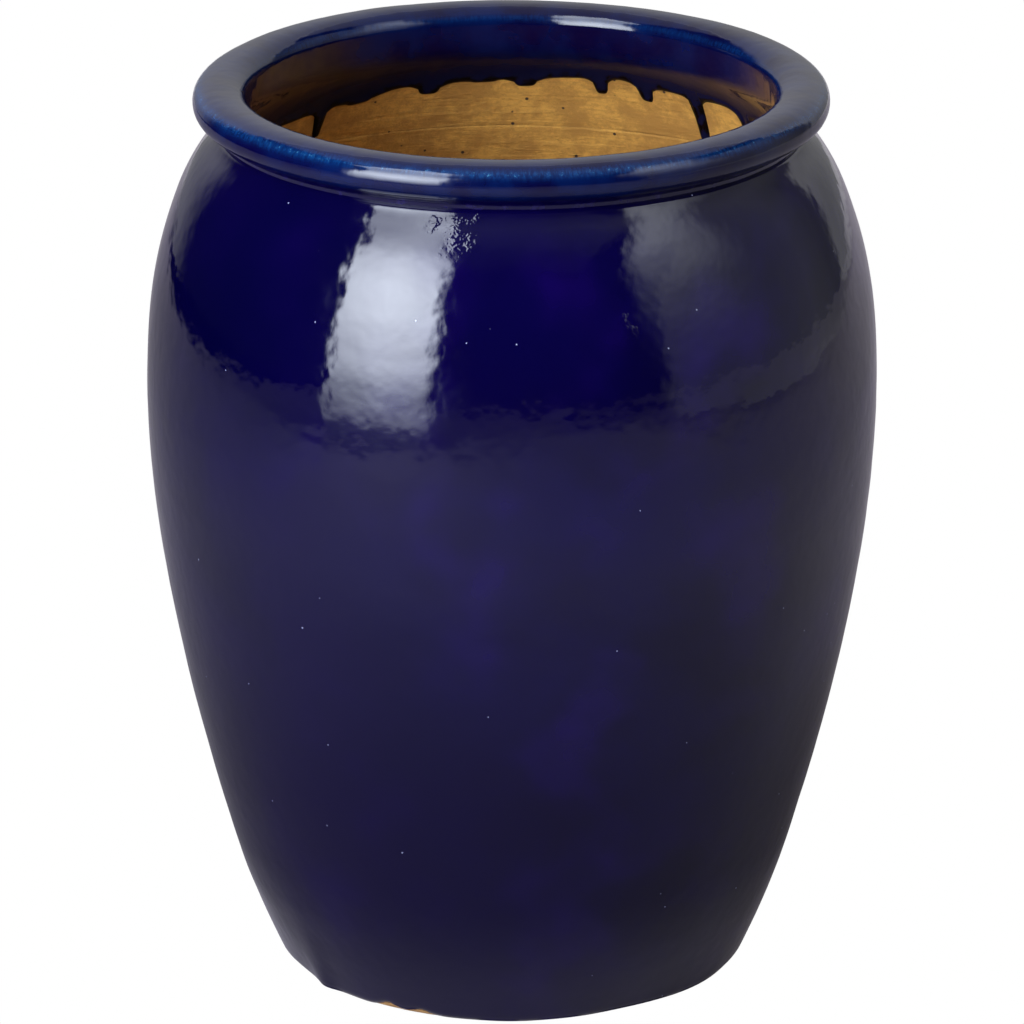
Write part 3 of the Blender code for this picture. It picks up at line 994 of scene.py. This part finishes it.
def make_studio():
    bpy.context.scene.view_settings.view_transform = "Standard"
    make_floor()
    make_world()
    upright_light(
        "key", -46, 2.1, 2.5, 0.0, 6.4,
        [
            (0.0, 0.2), (0.10, 0.5), (0.17, 2.4), (0.25, 3.6), (0.42, 7.2), (0.62, 12.0),
            (0.83, 15.0), (1.06, 18.5), (1.29, 19.5), (1.55, 17.5), (1.84, 15.5), (2.18, 11.0),
            (2.56, 8.5), (3.05, 7.4), (3.7, 7.6), (4.3, 9.5), (6.4, 8.0),
        ],
        left=[
            (0.0, -57), (1.9, -57.5), (2.35, -59), (2.75, -63), (3.15, -68), (3.5, -77),
            (6.4, -78),
        ],
        right=[
            (0.0, -22), (1.0, -20.5), (2.2, -18.5), (2.7, -23), (4.0, -24), (5.0, -30),
            (6.4, -40),
        ],
        fades=(0.05, 0.09),
        across=((0.0, 0.8), (0.35, 0.75), (0.60, 1.0), (0.80, 0.85), (1.0, 0.6)),
        tint=(0.82, 0.89, 1.0),
    )
    upright_light(
        "fill", 72, 2.4, 3.4, 0.5, 5.4,
        [
            (0.5, 0.0), (0.74, 0.08), (0.98, 0.22), (1.22, 0.42), (1.48, 0.88), (1.77, 1.3),
            (2.09, 1.8), (2.46, 2.8), (2.91, 3.0), (3.47, 2.8), (4.2, 1.5), (5.4, 0.0),
        ],
        left=[
            (0.5, 39), (1.5, 37), (2.1, 37), (2.46, 40), (2.91, 45), (3.47, 49), (4.2, 60),
            (5.4, 70),
        ],
        right=[(0.5, 92), (1.77, 89), (2.46, 86), (2.91, 90), (3.47, 98), (4.2, 107), (5.4, 107)],
        fades=(0.20, 0.38), tint=(0.90, 0.94, 1.0),
    )
    upright_light(
        "wall", 92, 2.6, 5.4, 0.0, 3.2, [(0.0, 0.30), (1.0, 0.30), (1.8, 0.35), (3.2, 0.45)],
        left=[(0.0, 42), (1.6, 42), (2.4, 60), (3.2, 70)], fades=(0.07, 0.15),
        across=((0.0, 1.0), (0.62, 1.0), (0.78, 0.45), (1.0, 0.35)),
    )
    upright_light(
        "backdrop", 180, 3.2, 8.4, 0.0, 4.2,
        [(0.0, 0.33), (0.5, 0.35), (0.9, 0.42), (1.5, 0.58), (2.5, 0.68), (4.2, 0.75)],
        fades=(0.08, 0.24),
    )
    # overhead, and fading towards the front
    soft_light(
        "ceiling", (0, -1.15, 4.0), (0, 0, 0), (5.0, 8.7),
        [
            (0.0, 0.0), (0.22, 0.06), (0.33, 0.13), (0.41, 0.17), (0.48, 0.26), (0.58, 0.45),
            (1.0, 0.5),
        ],
        left=[(0, 0), (1, 0)], right=[(0, 1), (1, 1)], fades=(0.1, 0.1),
        across=[(0, 1), (1, 1)], tint=(1, 1, 1),
    )


# ---- the scene ------------------------------------------------------------------------------
def place(piece, body, slot, node):
    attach(piece, body)
    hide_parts(node)


def main():
    make_camera()
    make_studio()
    clay = clay_look("fired_clay_look", (0.80, 0.42, 0.080), (0.50, 0.245, 0.048))
    foot_clay = clay_look("foot_clay_look", (0.56, 0.31, 0.110), (0.38, 0.20, 0.070))
    place(make_body_coat(body_glaze()), "jar", "cobalt_glaze", "outer_glaze")
    place(make_bead(bead_glaze()), "jar", "bead_glaze", "neck_bead")
    place(make_rim_coat(rim_glaze()), "jar", "lip_glaze", "rim_glaze")
    place(make_rim_core(clay), "jar", "fired_clay", "rim_roll")
    for name, node, rows in WALL_SECTIONS:
        place(make_clay_wall(name, node, clay, rows), "jar", "fired_clay", node)
    place(make_floor_clay(clay), "jar", "fired_clay", "base_slab")
    place(make_foot_clay(foot_clay), "jar", "foot_clay", "foot_ring")
    place(make_plug(rubber_look()), "plug", "plug_rubber", "drain_plug")


main()
